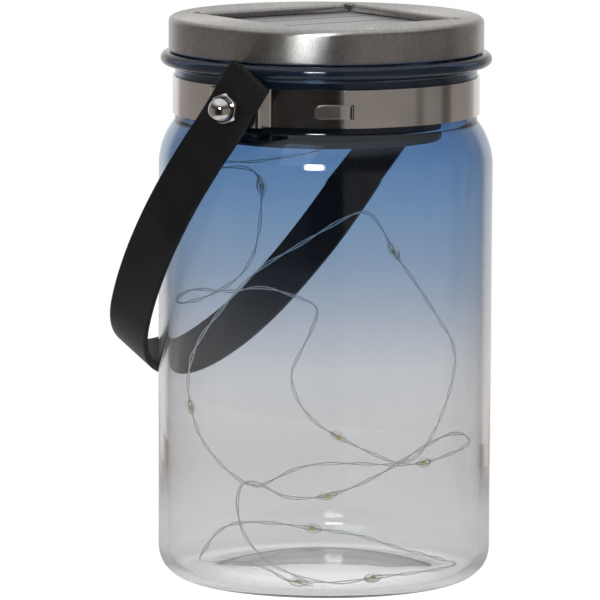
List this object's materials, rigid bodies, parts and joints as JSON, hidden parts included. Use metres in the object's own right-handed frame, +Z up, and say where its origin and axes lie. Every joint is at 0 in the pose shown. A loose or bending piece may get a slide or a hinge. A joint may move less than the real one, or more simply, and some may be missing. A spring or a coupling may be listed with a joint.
{
  "type": "mason jar lantern",
  "caption": "Solar lantern in a blue glass jar, with a light wire inside, a lid that holds the solar panel, a steel neck band and a swinging strap handle.",
  "frame": {"origin": "on the jar's axis, on the surface that it stands on", "axes": "+Z up along the jar's axis, X along the handle's pivot bolts, +Y to the side on which the handle hangs"},
  "size_m": [0.1212, 0.1139, 0.1696],
  "materials": {
    "glass_blue": "clear blown glass, blue at the top fading to clear",
    "polished_steel": "polished",
    "brushed_lid": "fine straight brushing",
    "black_strap": "matt black",
    "panel_dark": "matt",
    "cell_blue": "glossy",
    "rubber_dark": "matt",
    "housing_black": "matt moulded",
    "screw_steel": "plain",
    "board_green": "lacquered",
    "chip_black": "moulded",
    "coil_grey": "fired",
    "cell_sleeve": "shrink sleeve",
    "contact_nickel": "nickel plated",
    "switch_grey": "moulded",
    "lead_sleeve": "smooth",
    "wire_silver": "bright enamelled",
    "lamp_clear": "clear cast drop"
  },
  "bodies": {
    "jar": {"glass_jar": "glass_blue", "neck_band": "polished_steel", "pivot_bolts": "polished_steel", "cap_nuts": "polished_steel"},
    "handle": {"handle_strap": "black_strap"},
    "light_string": {"light_wire": "wire_silver", "led_beads": "lamp_clear"},
    "lid": {"lid_cap": "brushed_lid", "lid_gasket": "rubber_dark", "solar_panel": "panel_dark", "panel_seal": "rubber_dark", "solar_cells": "cell_blue", "electronics_housing": "housing_black", "housing_cover": "housing_black", "cover_screws": "screw_steel", "circuit_board": "board_green", "board_screws": "screw_steel", "control_chip": "chip_black", "inductor": "coil_grey", "battery": "cell_sleeve", "contact_plus": "contact_nickel", "contact_minus": "contact_nickel", "switch_body": "switch_grey", "panel_leads": "lead_sleeve", "battery_leads": "lead_sleeve", "wire_grommet": "rubber_dark"},
    "switch": {"switch_knob": "switch_grey"}
  },
  "joints": [
    {"name": "handle_swing", "type": "hinge", "parent": "jar", "child": "handle", "pos_m": [0, 0, 0.1462], "axis": [1, 0, 0], "range_deg": [0, 290]},
    {"name": "lid_lift", "type": "slide", "parent": "jar", "child": "light_string", "axis": [0, 0, 1], "range_m": [0, 0.045], "deforming": ["light_wire", "led_beads"]},
    {"name": "lid_turn", "type": "hinge", "parent": "light_string", "child": "lid", "pos_m": [0, 0, 0.1656], "axis": [0, 0, 1], "range_deg": [0, 270]},
    {"name": "switch_slide", "type": "slide", "parent": "lid", "child": "switch", "axis": [0.3827, 0.9239, 0], "range_m": [0, 0.002]}
  ]
}
